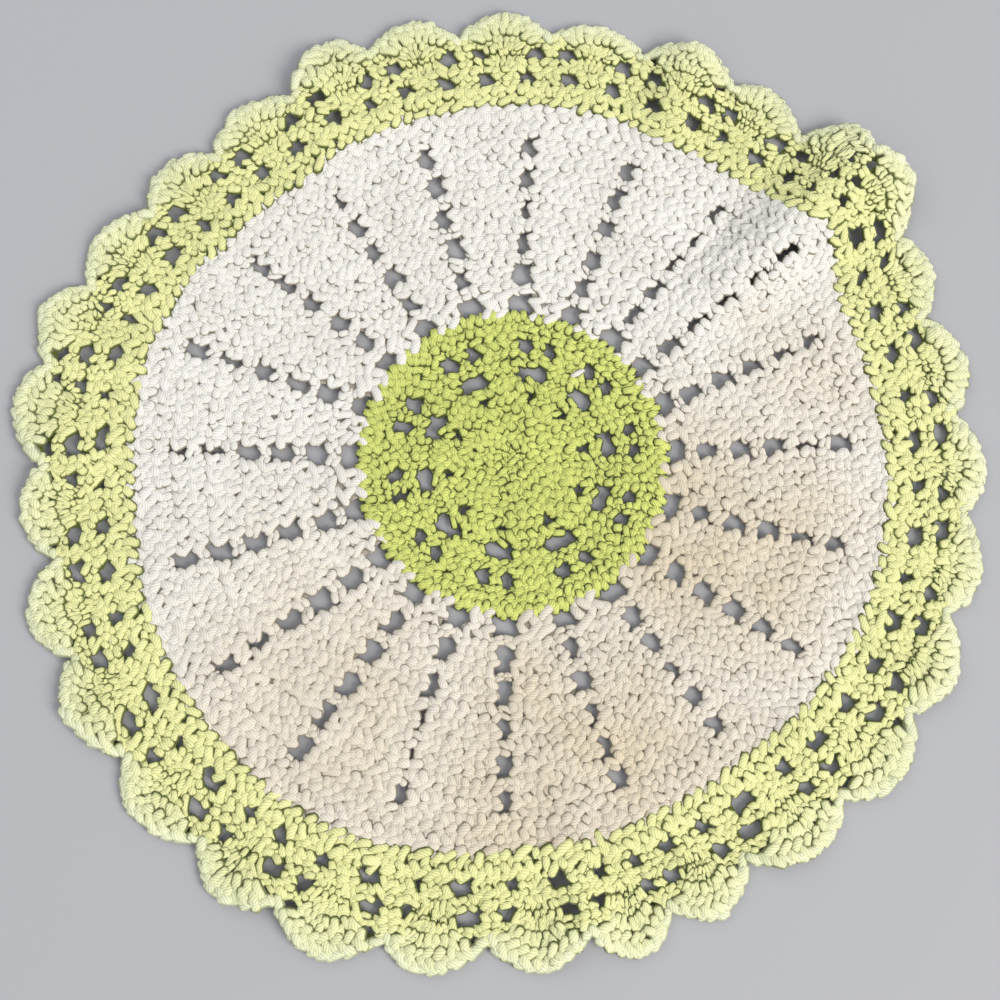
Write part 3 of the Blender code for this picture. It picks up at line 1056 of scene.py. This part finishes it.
class DOILY_OT_field(bpy.types.Operator):
    """Works the seven rounds of the white field, with the chains across its gaps"""

    bl_idname = "doily.field"
    bl_label = "White field"

    def execute(self, context):
        lobe = context.scene.doily_sizes.lobe
        _, field, _ = yarn_materials()
        foot = CENTRE_EDGE - 1.2
        tight = {(line, turn): left for line, turn, left in TIGHT_GAPS}
        lines = np.arange(len(GAP_LINES))
        for turn, (outer, count, at_foot, at_top) in enumerate(FIELD_ROUNDS):
            work = Work()
            left_over = np.array([tight.get((line, turn), 1.0) for line in lines])
            uneven = np.clip(rng.normal(1.0, 0.3, (2, len(lines))), 0.45, 1.5) * left_over
            shift = rng.normal(LEAN / 2, 0.45, (2, len(lines))) * ((-1.0,), (1.0,))
            half = np.array([[at_foot], [at_top]]) * uneven
            feet = np.degrees(np.stack((shift[0] - half[0], shift[0] + half[0])) / foot)
            tops = np.degrees(np.stack((shift[1] - half[1], shift[1] + half[1])) / outer)
            if not at_top:
                feet = np.zeros(feet.shape)
                tops = np.full(tops.shape, np.degrees(LEAN / 2 / outer))
            wedges = []
            for wedge in lines:
                after = (wedge + 1) % len(lines)

                def reach(share, radius, sides):
                    starts = gap_line(wedge, radius) + sides[1, wedge]
                    ends = gap_line(wedge + 1, radius) + sides[0, after]
                    return field_spot(starts + (ends - starts) * share, radius)

                cells = row_of(
                    count,
                    lambda share: reach(share, foot, feet),
                    lambda share: reach(share, outer, tops),
                )
                if turn == 0:
                    middle = (cells[:, 0] + cells[:, 1]) / 2
                    cells[:, 0] += (middle - cells[:, 0]) * 0.3
                    cells[:, 1] += (middle - cells[:, 1]) * 0.3
                wedges.append(cells)
            if not at_top:
                wedges = [np.concatenate(wedges)]
            for cells in wedges:
                work.stitches(cells, lobe, closed=not at_top)
            if at_top:
                slack = np.degrees(1.6 / outer) * np.array([[-1.0], [1.0]])
                for ends in field_spot(gap_line(lines, outer) + tops + slack, outer).T:
                    work.chains(ends, rng.normal(2.4, 0.35))
            name = f"field_round_{turn + 1}"
            show(name, work.mesh(name), (field,))
            foot = outer
        return {"FINISHED"}


class DOILY_OT_border(bpy.types.Operator):
    """Works the border: a close round, a round of gaps, the shells, the fans and the edging"""

    bl_idname = "doily.border"
    bl_label = "Green border"

    def execute(self, context):
        lobe = context.scene.doily_sizes.lobe
        _, _, border = yarn_materials()
        close, openwork, shells, fans, edging = (Work() for _ in range(5))
        cells = row_of(
            6 * len(SCALLOPS),
            lambda share: edge_spot(FULL_TURN * share, -1.9),
            lambda share: edge_spot(FULL_TURN * share + 0.3, 5.6),
            loose=0.2,
        )
        close.stitches(cells, lobe, rise=0.5, uneven=22.0, closed=True)
        for scallop in range(len(SCALLOPS)):
            self.open_round(openwork, scallop, lobe)
            self.shell(shells, scallop, lobe)
            self.fan(fans, scallop, lobe)
            self.edging(edging, scallop, lobe)
        for name, work in (
            ("border_close_round", close),
            ("border_openwork", openwork),
            ("border_shells", shells),
            ("border_fans", fans),
            ("border_edging", edging),
        ):
            show(name, work.mesh(name), (border,))
        return {"FINISHED"}

    def group(self, work, scallop, count, foot, top, lobe, slants=SLANTS):
        """Stitches side by side: foot and top are (start, end, offset) in the scallop."""
        cells = row_of(
            count,
            lambda share: border_spot(scallop, foot[0] + (foot[1] - foot[0]) * share, foot[2]),
            lambda share: border_spot(scallop, top[0] + (top[1] - top[0]) * share, top[2]),
        )
        work.stitches(cells, lobe, slants)

    def bar(self, work, scallop, left, right, offset, half_depth=2.3):
        """Chains across a gap of the scallop."""
        work.chains(border_spot(scallop, np.array((left - 0.04, right + 0.04)), offset), half_depth)

    def open_round(self, work, scallop, lobe):
        """Three stitches over the tip and three over the valley, with a gap on either side."""
        a, b, c, d = rng.normal(0.0, 0.018, 4)
        self.group(work, scallop, 3, (0.33 + a, 0.67 + b, 5.4), (0.31 + c, 0.69 + d, 14.3), lobe)
        foot, top = (-0.165 + a, 0.165 + c, 5.4), (-0.18 + d, 0.18 + a, 14.3)
        self.group(work, scallop, 3, foot, top, lobe)
        self.bar(work, scallop, 0.17 + a, 0.32 + c, 14.9, 2.8)
        self.bar(work, scallop, 0.68 + d, 0.83 + b, 14.9, 2.8)

    def shell(self, work, scallop, lobe):
        """Seven stitches that spread from one point, and a post over the valley."""
        a, b, c, d = rng.normal(0.0, 0.015, 4)
        foot, top = (-0.09 + a, 0.09 + b, 14.2), (-0.085 + b, 0.085 + a, 24.2)
        self.group(work, scallop, 2, foot, top, lobe)
        foot, top = (0.34, 0.66, 12.8), (0.21 + c, 0.79 + d, 23.8)
        self.group(work, scallop, 7, foot, top, 1.6 * lobe, SPREAD_SLANTS)
        self.bar(work, scallop, 0.085 + a, 0.23 + c, 24.2)
        self.bar(work, scallop, 0.77 + d, 0.915 + b, 24.2)

    def fan(self, work, scallop, lobe):
        """Eight tall stitches spread from one point to the edge, and two stand over the valley."""
        a, b = rng.normal(0.0, 0.02, 2)
        cells = row_of(
            2,
            lambda share: border_spot(scallop, -0.08 + 0.16 * share, 23.4),
            lambda share: rim_spot(scallop, -0.07 + 0.14 * share, 3.4),
        )
        work.stitches(cells, lobe, pale=(0.0, 0.3))
        cells = row_of(
            8,
            lambda share: border_spot(scallop, 0.39 + 0.22 * share, 20.2),
            lambda share: rim_spot(scallop, 0.07 + a + (0.86 + b - a) * share, 3.8),
        )
        pale = (0.0, 0.6)
        work.stitches(
            cells, 1.6 * lobe, SPREAD_SLANTS, pale=pale, rise=0.5, plump=0.68, uneven=6.0
        )

    def edging(self, work, scallop, lobe):
        """Short slanted stitches along the outside of a scallop."""
        cells = row_of(
            10,
            lambda share: rim_spot(scallop, share, 5.2),
            lambda share: rim_spot(scallop, share, 1.2),
        )
        work.stitches(cells, lobe, EDGE_SLANTS, pale=(0.5, 1.0), uneven=6.0)


class DOILY_OT_details(bpy.types.Operator):
    """Adds the first ring's starting chain and the loose bit of white yarn"""

    bl_idname = "doily.details"
    bl_label = "Start and loose end"

    def execute(self, context):
        centre, field, _ = yarn_materials()
        work = Work()
        chain = np.linspace(-0.5, 0.5, 5) * (4.6 + 4.4j)
        chain = chain + np.array([[-0.4 - 0.3j], [-3.8 - 3.9j]])
        heights, radii = (1.2, 2.5, 2.9, 2.6, 1.4), (0.6, 1.4, 1.6, 1.4, 0.6)
        work.strand(chain, np.array([heights]), np.array([radii]), 0.6)
        turned = np.linspace(0.0, 2 * np.pi, 13)[None, :]
        work.strand(1.7 * np.exp(1j * turned), 2.3 + 0.3 * np.sin(3 * turned), 0.95, 0.0)
        show("centre_start", work.mesh("centre_start"), (centre,))
        work = Work()
        angles, reach = (33.4, 34.2, 35.6, 36.8, 37.4), (37.2, 38.2, 40.0, 42.0, 42.8)
        heights, radii = (2.4, 3.1, 3.4, 3.1, 2.4), (0.4, 1.0, 1.2, 0.9, 0.4)
        bit = spot(np.array([angles]), np.array([reach]))
        work.strand(bit, np.array([heights]), np.array([radii]), 0.5)
        show("loose_white_bit", work.mesh("loose_white_bit"), (field,))
        return {"FINISHED"}


class DOILY_OT_sheet(bpy.types.Operator):
    bl_idname = "doily.sheet"
    bl_label = "Declare the cloth"

    def execute(self, context):
        return {"FINISHED"}


class DOILY_OT_stage(bpy.types.Operator):
    """Sets the floor, the lights and the camera"""

    bl_idname = "doily.stage"
    bl_label = "Stage"

    def execute(self, context):
        settings = context.scene.doily_stage
        self.floor(settings)
        self.camera(context)
        for name, place, size, colour in LIGHTS:
            self.light(name, place, size, getattr(settings, name), colour)
        world = bpy.data.worlds.new("studio")
        world.use_nodes = True
        sky = world.node_tree.nodes["Background"]
        sky.inputs["Color"].default_value = SKY
        sky.inputs["Strength"].default_value = SKY_STRENGTH
        context.scene.world = world
        context.scene.view_settings.view_transform = "Standard"
        return {"FINISHED"}

    def floor(self, settings):
        """A plain pale floor."""
        mesh = bpy.data.meshes.new("floor")
        ends = ((-1, -1), (1, -1), (1, 1), (-1, 1))
        spots = [(x * FLOOR_HALF, y * FLOOR_HALF, 0.0) for x, y in ends]
        mesh.from_pydata(spots, [], [(0, 1, 2, 3)])
        floor = bpy.data.objects.new("floor", mesh)
        material = bpy.data.materials.new("floor_paint")
        material.use_nodes = True
        shader = material.node_tree.nodes["Principled BSDF"]
        shader.inputs["Base Color"].default_value = settings.floor
        shader.inputs["Roughness"].default_value = 0.9
        mesh.materials.append(material)
        bpy.context.scene.collection.objects.link(floor)
        floor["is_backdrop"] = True

    def camera(self, context):
        """Stands where the photograph was taken from."""
        towards = np.radians(LEAN_TOWARDS)
        lean = np.tan(np.radians(LEAN_DEGREES))
        normal = Vector((lean * np.cos(towards), lean * np.sin(towards), 1.0)).normalized()
        right = (Vector((1.0, 0.0, 0.0)) - normal * normal.x).normalized()
        up = normal.cross(right)
        to_world = Matrix((right, up, normal))
        x, y = FIRST_RING_AT
        ring = Vector(((x - 0.5) / LENS_PER_SENSOR, (0.5 - y) / LENS_PER_SENSOR, -1.0)) * DISTANCE
        place = -(to_world @ ring) - Vector((MIDDLE.real, MIDDLE.imag, 0.0)) * MM
        data = bpy.data.cameras.new("camera")
        data.sensor_width = SENSOR
        data.lens = SENSOR * LENS_PER_SENSOR
        data.clip_start = NEAREST
        camera = bpy.data.objects.new("camera", data)
        context.scene.collection.objects.link(camera)
        camera.matrix_world = Matrix.Translation(place) @ to_world.to_4x4()
        context.scene.camera = camera

    def light(self, name, place, size, power, colour):
        """A round light that faces the middle."""
        data = bpy.data.lights.new(name, "AREA")
        data.shape = "DISK"
        data.size = size
        data.energy = power
        data.color = colour
        light = bpy.data.objects.new(name, data)
        bpy.context.scene.collection.objects.link(light)
        light.location = place
        light.rotation_euler = Vector(place).to_track_quat("Z", "Y").to_euler()


class DOILY_PT_panel(bpy.types.Panel):
    """Lists the steps that make the doily"""

    bl_label = "Crocheted doily"
    bl_space_type = "VIEW_3D"
    bl_region_type = "UI"
    bl_category = "Doily"

    def draw(self, context):
        scene = context.scene
        for group in (scene.doily_sizes, scene.doily_colours, scene.doily_stage):
            column = self.layout.column(align=True)
            for name in group.bl_rna.properties.keys():
                if name not in ("rna_type", "name"):
                    column.prop(group, name)
        for step in STEPS:
            self.layout.operator(step.bl_idname)


STEPS = (
    DOILY_OT_ground,
    DOILY_OT_centre,
    DOILY_OT_field,
    DOILY_OT_border,
    DOILY_OT_details,
    DOILY_OT_sheet,
    DOILY_OT_stage,
)
CLASSES = (SheetSizes, YarnColours, StageSettings, *STEPS, DOILY_PT_panel)


def register():
    for cls in CLASSES:
        bpy.utils.register_class(cls)
    bpy.types.Scene.doily_sizes = bpy.props.PointerProperty(type=SheetSizes)
    bpy.types.Scene.doily_colours = bpy.props.PointerProperty(type=YarnColours)
    bpy.types.Scene.doily_stage = bpy.props.PointerProperty(type=StageSettings)


def unregister():
    del bpy.types.Scene.doily_sizes
    del bpy.types.Scene.doily_colours
    del bpy.types.Scene.doily_stage
    for cls in reversed(CLASSES):
        bpy.utils.unregister_class(cls)


def corners(box):
    """A box as plain lists of numbers."""
    return [[float(value) for value in corner] for corner in box]


def main():
    cad_box = corners(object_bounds())
    register()
    for step in STEPS:
        area, name = step.bl_idname.split(".")
        getattr(getattr(bpy.ops, area), name)()
    {"cad": cad_box, "visual": corners(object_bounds())}


if __name__ == "__main__":
    main()
